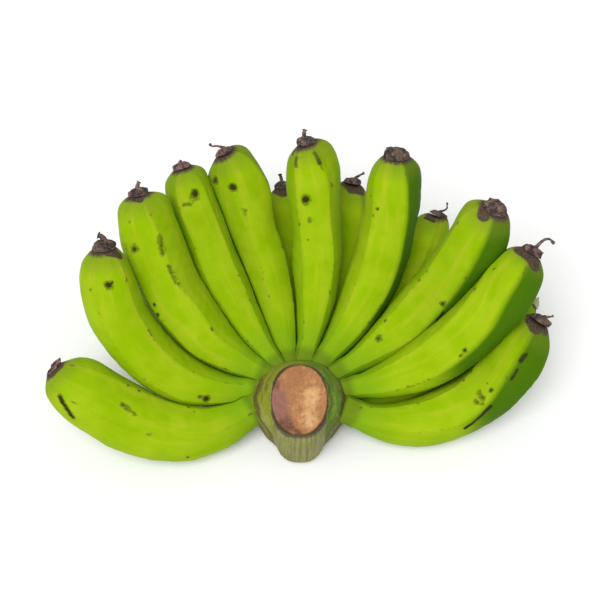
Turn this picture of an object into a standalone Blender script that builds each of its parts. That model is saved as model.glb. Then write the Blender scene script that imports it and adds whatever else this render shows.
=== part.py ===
# A hand of green Cavendish bananas, lying on its outer side with the cut stalk up.
# The stalk stands at the near side. Two rows of fingers leave it in a fan and curl upward,
# the upper row over the gaps of the lower one. Lengths are in metres, angles in degrees.
# A bearing or heading is 0 along +Y, away from the stalk, and grows toward +X.

from collections import namedtuple
from math import cos, pi, radians, sin, sqrt

import bmesh
import bpy
from mathutils import Matrix, Vector

MM = 0.001

# Place of the stalk's axis, which puts the origin under the middle of the hand
STALK = Vector((0, -73 * MM, 0))

# Gap that neighbouring pieces keep
GAP = 0.3 * MM

# Crown: the collar that the fingers grow from, as an ellipse seen from above
COLLAR_MIDDLE = Vector((0.5 * MM, 8 * MM, 0))
COLLAR_HALF_WIDTH = 33.5 * MM
COLLAR_HALF_DEPTH = 35 * MM
CROWN_SIDES = 36
CROWN_CREASE_ANGLE = 35

# The cut face leans up toward the fan, and the top of the crown takes up that lean by degrees
CUT_SLOPE = 0.15
CUT_RISE_FROM = 34 * MM
CUT_RISE_OVER = 7 * MM

# Crown sections in mm from the stub's foot to the cut face: height, middle, half width, near
# edge, far edge and how much narrower the near half is than the far one
CrownSection = namedtuple("CrownSection", "height middle half_width near far pinch")
CROWN_SECTIONS = [
    CrownSection(0.0, 1, 22, -22, 26, 0.30),
    CrownSection(3.0, 1, 28, -27, 33, 0.30),
    CrownSection(8.0, 1, 31.5, -28.5, 37, 0.27),
    CrownSection(16.0, 1, 33, -28.5, 38.5, 0.24),
    CrownSection(25.0, 1, 33.5, -28.5, 38.5, 0.20),
    CrownSection(33.0, 1, 33, -28, 37.5, 0.14),
    CrownSection(37.5, 0.5, 30.5, -27.5, 34.5, 0.08),
    CrownSection(40.0, -0.5, 25, -26.5, 29.5, 0.02),
    CrownSection(41.5, -1.5, 21, -26, 26.5, 0.0),
    CrownSection(46.0, -1.7, 19, -25, 25, 0.0),
]

# Fingers, lengths in mm. Each starts on the collar at a bearing and a height, leaves it with one
# heading and pitch, and bends in one plane until its tip points along a second heading and
# pitch. Length runs along its middle. Thick is the body's thickness and stem that of its root.
# A low neck value fills out soon after the root. The last two say how long the dry strand on its
# end is, and which way it turns.
Finger = namedtuple("Finger", "name bearing height heading pitch tip_heading tip_pitch length thick"
                    " stem neck strand strand_turn")
UPPER_ROW = [
    Finger("upper_1", -93, 22, -121, -14, -54, 32, 149, 42, 17, 0.8, 3, 30),
    Finger("upper_2", -71, 27, -97, -4, -8, 54, 163, 40, 11.5, 0.9, 5, -60),
    Finger("upper_3", -54, 32, -68, 10, -15, 48, 153, 44, 12, 0.95, 3, 0),
    Finger("upper_4", -36, 32, -38, 12, -22, 46, 149, 37, 11, 1.0, 2, 20),
    Finger("upper_5", -18, 28, -13, 5, -31, 51, 152, 40, 10, 1.1, 9, -80),
    Finger("upper_6", 3, 30, 14, 14, -18, 54, 149, 38, 10, 1.25, 7, 10),
    Finger("upper_7", 25, 29, 41, 12, 3, 59, 155, 41, 11.5, 1.1, 2, 0),
    Finger("upper_8", 50, 30, 60, 6, 50, 62, 160, 43, 11.5, 1.1, 2, 0),
    Finger("upper_9", 74, 29, 86, 13, 41, 38, 157, 42, 12, 0.9, 10, 90),
    Finger("upper_10", 101, 26.5, 103, -22, 41, 38, 154, 41, 16, 1.0, 5, 90),
]
LOWER_ROW = [
    Finger("lower_1", -62, 12.5, -58, -6, -40, 28, 132, 33, 11, 1.3, 3, 0),
    Finger("lower_2", -28, 14, -26, -9, -24, 36, 133, 34, 11, 1.3, 3, 0),
    Finger("lower_3", -9, 14, -5, -11, -4, 43, 139, 33, 11, 1.4, 4, -20),
    Finger("lower_4", 12, 14, 16, -10, 15, 44, 139, 34, 11, 1.4, 5, 60),
    Finger("lower_5", 34, 14, 43, -11, 32, 41, 141, 33, 11, 1.3, 7, 10),
    Finger("lower_6", 59, 11, 58, -4, 44, 36, 138, 32, 11, 1.3, 3, 0),
    Finger("lower_7", 84, 13, 71, -4, 55, 20, 150, 31, 11, 1.3, 3, 0),
]

# Fingers that lie pressed against others: each is hollowed where its neighbours bear on it
PRESSED_BY = {
    "upper_2": ["upper_1", "upper_3"],
    "upper_4": ["upper_3"],
    "upper_5": ["upper_4"],
    "upper_7": ["upper_8"],
    "upper_9": ["upper_8", "upper_10"],
    "lower_1": ["upper_3"],
    "lower_2": ["upper_5"],
    "lower_3": ["upper_5", "lower_2"],
    "lower_6": ["lower_5", "upper_8"],
    "lower_7": ["upper_9", "upper_10", "lower_6"],
}

# Form that all fingers share, as shares of their length
BODY_FROM = 0.52
SHOULDER_FROM = 0.68
SHOULDER_ROUND = 2.6
SHOULDER_DROP = 0.93
STRAIGHT_UNTIL = 0.05
BEND_EASE = 1.5

# How far a root runs on into the crown, before the crown's own form trims it
SUNK_DEPTH = 13 * MM

# Rings along a finger, closer together toward both its ends
FINGER_RINGS = 16
RINGS_CROWDED = 0.08
STEPS_BETWEEN_RINGS = 12

# Section of a finger: five soft ridges, one along the outer side and two beside the inner one
RIDGES = 5
POINTS_PER_FACE = 3
FACE_SHARE = 0.925

# Dried flower end: along its length, the share of the end face's radius
END_LENGTH = 5.5 * MM
END_FORM = [(0.0, 0.98), (0.35, 1.04), (0.7, 0.80), (1.0, 0.36)]
STRAND_RADIUS = 1.1 * MM
STRAND_STEPS = 3

# Points this close are one point
WELD_DISTANCE = 0.01 * MM

# Edge of the block that stands for everything under the surface
SURFACE_BLOCK = 1.0


def clear_scene():
    for obj in list(bpy.data.objects):
        bpy.data.objects.remove(obj, do_unlink=True)


def new_collection(name):
    collection = bpy.data.collections.new(name)
    bpy.context.scene.collection.children.link(collection)
    return collection


def new_material(name, colour, roughness):
    material = bpy.data.materials.new(name)
    material.use_nodes = True
    shader = material.node_tree.nodes["Principled BSDF"]
    shader.inputs["Base Color"].default_value = (*colour, 1.0)
    shader.inputs["Roughness"].default_value = roughness
    shader.inputs["Metallic"].default_value = 0.0
    return material


def direction(heading, pitch):
    """The way that a heading and a pitch point."""
    flat = cos(radians(pitch))
    return Vector((sin(radians(heading)) * flat, cos(radians(heading)) * flat, sin(radians(pitch))))


def add_part(name, mesh, frame, material, collection):
    part = bpy.data.objects.new(name, mesh)
    part.matrix_world = frame
    mesh.materials.append(material)
    collection.objects.link(part)
    return part


def add_cutter(name, mesh, frame, collection):
    """A helper that only shapes other pieces."""
    cutter = bpy.data.objects.new(name, mesh)
    cutter.matrix_world = frame
    cutter.hide_render = True
    cutter.display_type = "WIRE"
    collection.objects.link(cutter)
    return cutter


def crown_ring(section, grow):
    """One level of the crown: an egg-shaped loop that leans up toward the fan near the cut."""
    middle = (section.far + section.near) / 2 * MM
    half_depth = (section.far - section.near) / 2 * MM + grow
    half_width = section.half_width * MM + grow
    lean = CUT_SLOPE * min(1, max(0, (section.height * MM - CUT_RISE_FROM) / CUT_RISE_OVER))
    ring = []
    for side in range(CROWN_SIDES):
        turn = 2 * pi * side / CROWN_SIDES
        narrowing = 1 - section.pinch * (1 - cos(turn)) / 2
        x = section.middle * MM + half_width * sin(turn) * narrowing
        y = middle + half_depth * cos(turn)
        ring.append(Vector((x, y, section.height * MM + lean * (y - middle))))
    return ring


def crown_mesh(name, grow):
    """The crown as a loft through its sections, with a flat foot and a flat sloping cut."""
    made = bmesh.new()
    rings = []
    for section in CROWN_SECTIONS:
        rings.append([made.verts.new(point) for point in crown_ring(section, grow)])
    for lower, upper in zip(rings, rings[1:]):
        for side in range(CROWN_SIDES):
            after = (side + 1) % CROWN_SIDES
            made.faces.new((lower[side], upper[side], upper[after], lower[after]))
    made.faces.new(rings[0])
    made.faces.new(reversed(rings[-1]))
    bmesh.ops.recalc_face_normals(made, faces=made.faces)
    mesh = bpy.data.meshes.new(name)
    made.to_mesh(mesh)
    made.free()
    return mesh


def add_crown(material, parts, cutters):
    """The crown, and a copy one gap larger that trims the fingers' roots."""
    stand = Matrix.Translation(STALK)
    crown = add_part("crown", crown_mesh("crown", 0), stand, material, parts)
    crown.data.shade_smooth()
    crown.data.set_sharp_from_angle(angle=radians(CROWN_CREASE_ANGLE))
    return add_cutter("crown_with_gap", crown_mesh("crown_with_gap", GAP), stand, cutters)


def finger_radius(finger, along):
    """Radius at a share of the length: a thin root, then the full body and a round shoulder."""
    swell = sin(pi / 2 * min(1, along / BODY_FROM)) ** finger.neck
    across = finger.stem + (finger.thick - finger.stem) * swell
    end = max(0, (along - SHOULDER_FROM) / (1 - SHOULDER_FROM)) * SHOULDER_DROP
    return across / 2 * MM * sqrt(1 - end ** SHOULDER_ROUND)


def bend_share(along):
    """Share of the whole bend that is done at a share of the length."""
    past = max(0, (along - STRAIGHT_UNTIL) / (1 - STRAIGHT_UNTIL))
    return 1 - (1 - past) ** BEND_EASE


def ring_share(ring):
    """Share of the length at which a ring lies."""
    even = ring / (FINGER_RINGS - 1)
    return even - RINGS_CROWDED * sin(2 * pi * even)


def section_outline(collection):
    """Outline of a finger with a radius of 1, its inner side toward +Y: ridges at full radius."""
    curve = bpy.data.curves.new("finger_section", "CURVE")
    curve.dimensions = "2D"
    spline = curve.splines.new("POLY")
    count = RIDGES * POINTS_PER_FACE
    spline.points.add(count - 1)
    for step, point in enumerate(spline.points):
        turn = 2 * pi * (step + 0.5) / count
        radius = 1 if step % POINTS_PER_FACE == 1 else FACE_SHARE
        point.co = (radius * sin(turn), radius * cos(turn), 0, 1)
    spline.use_cyclic_u = True
    outline = bpy.data.objects.new("finger_section", curve)
    outline.hide_render = True
    outline.display_type = "WIRE"
    collection.objects.link(outline)
    return outline


def finger_frame(finger):
    """Frame of a finger at the collar, X halfway through its bend and Z the side that it bends
    to, with the angle of the whole bend."""
    out = direction(finger.heading, finger.pitch)
    toward = direction(finger.tip_heading, finger.tip_pitch)
    halfway = (out + toward).normalized()
    up = (toward - out).normalized()
    side = up.cross(halfway)
    bearing = radians(finger.bearing)
    root = STALK + COLLAR_MIDDLE + Vector((
        COLLAR_HALF_WIDTH * sin(bearing), COLLAR_HALF_DEPTH * cos(bearing), finger.height * MM))
    frame = Matrix((halfway, side, up)).transposed().to_4x4()
    frame.translation = root
    return frame, out.angle(toward)


def finger_middle(finger, bend):
    """Points along a finger's middle in its own frame, one for each ring."""
    shares = [ring_share(ring) for ring in range(FINGER_RINGS)]
    points = [Vector((0, 0, 0))]
    for before, after in zip(shares, shares[1:]):
        stride = finger.length * MM * (after - before) / STEPS_BETWEEN_RINGS
        point = points[-1].copy()
        for step in range(STEPS_BETWEEN_RINGS):
            along = before + (after - before) * (step + 0.5) / STEPS_BETWEEN_RINGS
            turn = bend * (bend_share(along) - 0.5)
            point += stride * Vector((cos(turn), 0, sin(turn)))
        points.append(point)
    return points


def sweep(name, points, radii, outline, collection):
    """A closed mesh swept along points. It follows the outline, or is round without one."""
    curve = bpy.data.curves.new(name, "CURVE")
    curve.dimensions = "3D"
    curve.twist_mode = "Z_UP"
    curve.use_fill_caps = True
    if outline:
        curve.bevel_mode = "OBJECT"
        curve.bevel_object = outline
    else:
        curve.bevel_depth = 1.0
        curve.bevel_resolution = 2
    spline = curve.splines.new("POLY")
    spline.points.add(len(points) - 1)
    for point, place, radius in zip(spline.points, points, radii):
        point.co = (*place, 1)
        point.radius = radius
    swept = bpy.data.objects.new(name, curve)
    collection.objects.link(swept)
    bpy.context.view_layer.update()
    mesh = bpy.data.meshes.new_from_object(swept.evaluated_get(bpy.context.evaluated_depsgraph_get()))
    bpy.data.objects.remove(swept, do_unlink=True)
    welded = bmesh.new()
    welded.from_mesh(mesh)
    bmesh.ops.remove_doubles(welded, verts=welded.verts, dist=WELD_DISTANCE)
    bmesh.ops.recalc_face_normals(welded, faces=welded.faces)
    welded.to_mesh(mesh)
    welded.free()
    mesh.shade_smooth()
    mesh.name = name
    return mesh


def finger_mesh(name, finger, bend, grow, outline, collection):
    """A finger's body in its own frame, with its root run on into the crown."""
    sunk = Vector((-cos(bend / 2), 0, sin(bend / 2))) * SUNK_DEPTH
    points = [sunk] + finger_middle(finger, bend)
    shares = [0] + [ring_share(ring) for ring in range(FINGER_RINGS)]
    radii = [finger_radius(finger, share) + grow for share in shares]
    return sweep(name, points, radii, outline, collection)


def add_surface_cutter(cutters):
    """A block under the surface: a finger that presses on the surface gets a small flat spot."""
    block = bmesh.new()
    below = Matrix.Translation((0, 0, -SURFACE_BLOCK / 2))
    bmesh.ops.create_cube(block, size=SURFACE_BLOCK, matrix=below)
    mesh = bpy.data.meshes.new("below_surface")
    block.to_mesh(mesh)
    block.free()
    return add_cutter("below_surface", mesh, Matrix.Identity(4), cutters)


def add_finger_cutter(finger, outline, cutters):
    """A finger one gap thicker, to hollow the neighbours that it presses on."""
    name = "finger_" + finger.name + "_with_gap"
    frame, bend = finger_frame(finger)
    return add_cutter(name, finger_mesh(name, finger, bend, GAP, outline, cutters), frame, cutters)


def add_finger(finger, outline, trims, surface, material, collection):
    """One finger, trimmed to the crown, to what presses on it and to the surface."""
    frame, bend = finger_frame(finger)
    name = "finger_" + finger.name
    mesh = finger_mesh(name, finger, bend, 0, outline, collection)
    part = add_part(name, mesh, frame, material, collection)
    lowest = min((frame @ vertex.co).z for vertex in mesh.vertices)
    for trim in trims + ([surface] if lowest < 0 else []):
        cut = part.modifiers.new("against_" + trim.name, "BOOLEAN")
        cut.operation = "DIFFERENCE"
        cut.object = trim


def add_flower_end(finger, material, collection):
    """The dry flower end on a finger's tip, narrowing into the strand that is left of the style."""
    frame, bend = finger_frame(finger)
    tip = finger_middle(finger, bend)[-1]
    ahead = Vector((cos(bend / 2), 0, sin(bend / 2)))
    aside = Vector((0, -1, 0))
    radius = finger_radius(finger, 1)
    points = [tip + ahead * (GAP + share * END_LENGTH) for share, width in END_FORM]
    radii = [radius * width for share, width in END_FORM]
    stride = finger.strand * MM / STRAND_STEPS
    for step in range(STRAND_STEPS):
        turn = radians(finger.strand_turn) * (step + 1) / STRAND_STEPS
        points.append(points[-1] + stride * (ahead * cos(turn) + aside * sin(turn)))
        radii.append(STRAND_RADIUS)
    name = "flower_end_" + finger.name
    add_part(name, sweep(name, points, radii, None, collection), frame, material, collection)


def build():
    clear_scene()
    parts = new_collection("cavendish_banana_hand")
    cutters = new_collection("cutters")
    peel = new_material("green_peel", (0.34, 0.55, 0.012), 0.42)
    shaded_peel = new_material("shaded_green_peel", (0.24, 0.45, 0.012), 0.42)
    crown_skin = new_material("crown_skin", (0.29, 0.30, 0.09), 0.62)
    dry_flower = new_material("dry_flower", (0.07, 0.045, 0.035), 0.85)
    outline = section_outline(cutters)
    crown_cutter = add_crown(crown_skin, parts, cutters)
    surface = add_surface_cutter(cutters)
    pressing = {name for names in PRESSED_BY.values() for name in names}
    finger_cutters = {finger.name: add_finger_cutter(finger, outline, cutters)
                      for finger in UPPER_ROW + LOWER_ROW if finger.name in pressing}
    for row, skin in ((UPPER_ROW, peel), (LOWER_ROW, shaded_peel)):
        for finger in row:
            pressed_by = [finger_cutters[name] for name in PRESSED_BY.get(finger.name, [])]
            add_finger(finger, outline, [crown_cutter] + pressed_by, surface, skin, parts)
            add_flower_end(finger, dry_flower, parts)


build()
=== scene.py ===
import bpy
import numpy as np
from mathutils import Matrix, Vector


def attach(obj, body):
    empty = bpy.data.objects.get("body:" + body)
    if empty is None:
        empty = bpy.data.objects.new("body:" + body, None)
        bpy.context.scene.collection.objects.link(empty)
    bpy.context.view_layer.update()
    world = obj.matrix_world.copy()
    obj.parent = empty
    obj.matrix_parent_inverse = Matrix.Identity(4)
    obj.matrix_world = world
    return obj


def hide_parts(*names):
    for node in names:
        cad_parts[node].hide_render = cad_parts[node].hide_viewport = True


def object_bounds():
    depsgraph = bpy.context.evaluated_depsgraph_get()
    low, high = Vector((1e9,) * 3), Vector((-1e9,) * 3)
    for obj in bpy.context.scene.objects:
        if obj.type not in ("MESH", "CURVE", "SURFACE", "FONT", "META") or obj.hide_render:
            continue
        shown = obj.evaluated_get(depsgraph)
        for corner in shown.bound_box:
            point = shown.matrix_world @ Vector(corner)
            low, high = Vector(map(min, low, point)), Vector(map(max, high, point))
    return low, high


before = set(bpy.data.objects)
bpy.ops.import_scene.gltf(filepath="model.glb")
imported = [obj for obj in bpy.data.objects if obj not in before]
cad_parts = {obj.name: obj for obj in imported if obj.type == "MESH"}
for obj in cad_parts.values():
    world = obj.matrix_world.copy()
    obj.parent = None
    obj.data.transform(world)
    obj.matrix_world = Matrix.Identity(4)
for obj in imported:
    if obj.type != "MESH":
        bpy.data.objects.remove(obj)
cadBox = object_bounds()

# Green cavendish banana hand on a pale surface. Shapes are worked out in millimetres and put
# into the meshes in metres. Headings and bearings are 0 along +Y and grow toward +X, in degrees.

mm = 0.001
boxCorners = [np.array(corner) / mm for corner in cadBox]  # of the solids' box

stalk = {
    "place": (0, -73, 0),      # foot of the stalk's axis
    "collarMiddle": (0.5, 8),  # centre of the collar's outline, from the axis
    "collarHalf": (33.5, 35),  # its half width and half depth
}

camera = {
    "elevation": 58,
    "distance": 800,
    "lookAt": (0, 7, 30),
    "focalPixels": 1120,
    "imagePixels": 600,
    "lookAtPixel": (302, 310.2),  # where that point shows in the picture
    "sensor": 36,
}


def cameraAxes():
    # the camera's right, up and ahead: it looks along +Y, down by its elevation
    rise = np.radians(camera["elevation"])
    right = np.array([1.0, 0.0, 0.0])
    up = np.array([0.0, np.sin(rise), np.cos(rise)])
    ahead = np.array([0.0, np.cos(rise), -np.sin(rise)])
    return right, up, ahead


def cameraEye():
    return np.array(camera["lookAt"]) - cameraAxes()[2] * camera["distance"]


def toPixels(points):
    # perspective: the offset from the eye along right and up, over its depth, times the focal
    # length
    right, up, ahead = cameraAxes()
    offset = points - cameraEye()
    depth = offset @ ahead
    x = camera["lookAtPixel"][0] + camera["focalPixels"] * (offset @ right) / depth
    y = camera["lookAtPixel"][1] - camera["focalPixels"] * (offset @ up) / depth
    return x, y, depth


def addCamera():
    # the lens from the focal length in pixels, and shifts that put lookAt at its own pixel
    data = bpy.data.cameras.new("camera")
    data.sensor_width = camera["sensor"]
    data.lens = camera["sensor"] * camera["focalPixels"] / camera["imagePixels"]
    middle = camera["imagePixels"] / 2
    data.shift_x = (middle - camera["lookAtPixel"][0]) / camera["imagePixels"]
    data.shift_y = (camera["lookAtPixel"][1] - middle) / camera["imagePixels"]
    data.clip_start = 0.01
    item = bpy.data.objects.new("camera", data)
    item.location = cameraEye() * mm
    item.rotation_euler = Vector(cameraAxes()[2]).to_track_quat("-Z", "Y").to_euler()
    bpy.context.scene.collection.objects.link(item)
    bpy.context.scene.camera = item


addCamera()
print("camera placed")


def smoothStep(value, low, high):
    # 0 up to low and 1 from high on, with the cubic 3 share^2 - 2 share^3 between
    share = np.clip((value - low) / (high - low), 0, 1)
    return share * share * (3 - 2 * share)


def unit(vector):
    # each vector over its own length
    vector = np.asarray(vector, float)
    return vector / np.linalg.norm(vector, axis=-1, keepdims=True)


def way(heading, pitch):
    # the vector of length 1 along a heading, raised by the pitch
    heading, pitch = np.radians(heading), np.radians(pitch)
    return np.array([np.sin(heading) * np.cos(pitch), np.cos(heading) * np.cos(pitch), np.sin(pitch)])


def ripple(points, size, seed, waves=10):
    # smooth noise near -1 to 1: sines along random ways, each about one size long, added up
    draw = np.random.default_rng(seed)
    ways = unit(draw.normal(size=(waves, 3))) * 2 * np.pi / size
    ways *= draw.uniform(0.6, 1.5, (waves, 1))
    phases = draw.uniform(0, 2 * np.pi, waves)
    return np.sin(points @ ways.T + phases).sum(-1) / np.sqrt(waves)


def gridFaces(rows, columns):
    # quads of a tube whose rows are rings, with a fan to a pole at each end
    row, column = np.meshgrid(np.arange(rows - 1), np.arange(columns), indexing="ij")
    after = (column + 1) % columns
    quads = np.stack([row * columns + column, row * columns + after,
                      (row + 1) * columns + after, (row + 1) * columns + column], -1).reshape(-1, 4)
    ring = np.arange(columns)
    nextOne = (ring + 1) % columns
    last = (rows - 1) * columns
    firstPole = np.full(columns, rows * columns)
    lastPole = firstPole + 1
    startFan = np.stack([firstPole, nextOne, ring], -1)
    endFan = np.stack([lastPole, last + ring, last + nextOne], -1)
    return quads, np.concatenate([startFan, endFan])


def outwardFaces(points, quads, fans):
    # the enclosed volume is negative when the faces point inwards, and then each is turned round
    split = np.concatenate([quads[:, [0, 1, 2]], quads[:, [0, 2, 3]], fans])
    a, b, c = points[split[:, 0]], points[split[:, 1]], points[split[:, 2]]
    if np.einsum("ij,ij->i", a, np.cross(b, c)).sum() < 0:
        return quads[:, ::-1], fans[:, ::-1]
    return quads, fans


def tubeMesh(name, rings, values, vectors):
    # a closed tube through rings of points, rows by columns by 3, with values for each point
    rows, columns = rings.shape[:2]
    flat = rings.reshape(-1, 3)
    points = np.concatenate([flat, rings[0].mean(0)[None], rings[-1].mean(0)[None]])
    quads, fans = outwardFaces(points, *gridFaces(rows, columns))
    mesh = bpy.data.meshes.new(name)
    mesh.vertices.add(len(points))
    mesh.vertices.foreach_set("co", (points * mm).astype(np.float32).ravel())
    mesh.loops.add(quads.size + fans.size)
    corners = np.concatenate([quads.ravel(), fans.ravel()])
    mesh.loops.foreach_set("vertex_index", corners.astype(np.int32))
    mesh.polygons.add(len(quads) + len(fans))
    starts = np.concatenate([np.arange(len(quads)) * 4, quads.size + np.arange(len(fans)) * 3])
    mesh.polygons.foreach_set("loop_start", starts.astype(np.int32))
    mesh.update(calc_edges=True)
    mesh.validate()
    mesh.shade_smooth()
    for key, value in values.items():
        ends = np.concatenate([value.ravel(), [value[0].mean(), value[-1].mean()]])
        layer = mesh.attributes.new(key, "FLOAT", "POINT")
        layer.data.foreach_set("value", ends.astype(np.float32))
    for key, value in vectors.items():
        ends = np.concatenate([value.reshape(-1, 3), value[0].mean(0)[None], value[-1].mean(0)[None]])
        layer = mesh.attributes.new(key, "FLOAT_VECTOR", "POINT")
        layer.data.foreach_set("vector", ends.astype(np.float32).ravel())
    return mesh


def ringNormals(rings):
    # the cross product of the steps along and around, turned away from each ring's middle
    along = np.gradient(rings, axis=0)
    around = np.roll(rings, -1, 1) - np.roll(rings, 1, 1)
    normals = unit(np.cross(around, along) + 1e-12)
    out = rings - rings.mean(1, keepdims=True)
    return np.where((normals * out).sum(-1, keepdims=True) < 0, -normals, normals)


def addPiece(name, mesh, material, node):
    item = bpy.data.objects.new(name, mesh)
    mesh.materials.append(material)
    bpy.context.scene.collection.objects.link(item)
    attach(item, "root")
    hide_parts(node)


def startMaterial(name):
    material = bpy.data.materials.new(name)
    material.use_nodes = True
    tree = material.node_tree
    return material, tree, tree.nodes["Principled BSDF"]


def addNode(tree, kind, inputs=None, **settings):
    made = tree.nodes.new(kind)
    for key, value in settings.items():
        setattr(made, key, value)
    for key, value in (inputs or {}).items():
        socket = made.inputs[key]
        if isinstance(value, bpy.types.NodeSocket):
            tree.links.new(value, socket)
        else:
            socket.default_value = value
    return made


def readValue(tree, name):
    return addNode(tree, "ShaderNodeAttribute", attribute_name=name).outputs["Fac"]


def readVector(tree, name):
    return addNode(tree, "ShaderNodeAttribute", attribute_name=name).outputs["Vector"]


def noiseAt(tree, place, scale, detail=3.0, roughness=0.5, distortion=0.0):
    return addNode(tree, "ShaderNodeTexNoise", {
        "Vector": place, "Scale": scale, "Detail": detail, "Roughness": roughness,
        "Distortion": distortion}).outputs["Fac"]


def stretch(tree, place, scales):
    made = addNode(tree, "ShaderNodeVectorMath", {0: place, 1: scales}, operation="MULTIPLY")
    return made.outputs["Vector"]


def combine(tree, operation, first, second):
    return addNode(tree, "ShaderNodeMath", {0: first, 1: second}, operation=operation).outputs["Value"]


def times(tree, first, second):
    return combine(tree, "MULTIPLY", first, second)


def plus(tree, first, second):
    return combine(tree, "ADD", first, second)


def swing(tree, value, middle, size):
    # how far the value is from its middle, times the size
    return times(tree, combine(tree, "SUBTRACT", value, middle), size)


def remap(tree, value, low, high, toLow=0.0, toHigh=1.0):
    # low to high becomes toLow to toHigh along a smooth step, level beyond both
    return addNode(tree, "ShaderNodeMapRange", {
        "Value": value, "From Min": low, "From Max": high, "To Min": toLow, "To Max": toHigh},
        interpolation_type="SMOOTHSTEP", clamp=True).outputs["Result"]


def mixColour(tree, share, first, second):
    # the first colour where the share is 0, the second where it is 1
    made = addNode(tree, "ShaderNodeMix", data_type="RGBA", blend_type="MIX", clamp_factor=True)
    for index, value in ((0, share), (6, first), (7, second)):
        socket = made.inputs[index]
        if isinstance(value, bpy.types.NodeSocket):
            tree.links.new(value, socket)
        elif index:
            socket.default_value = (*value, 1.0)
        else:
            socket.default_value = value
    return made.outputs[2]


def addBump(tree, height, strength, distance, under=None):
    inputs = {"Height": height, "Strength": strength, "Distance": distance}
    if under:
        inputs["Normal"] = under
    return addNode(tree, "ShaderNodeBump", inputs).outputs["Normal"]


# What a finger has unless its own lines say otherwise. Flat is 0 for a round section and 1 for a
# true pentagon.
usual = dict(flat=0.44, paintedShadeFrom=(0.08, 0.3), swells=[], marks=[], scuffs=[], dry=[])
usualLower = dict(usual, stem=11, roll=(0, 0), paintedShades=(0.4, 0.3, 0, 0, 0.3))
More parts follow.
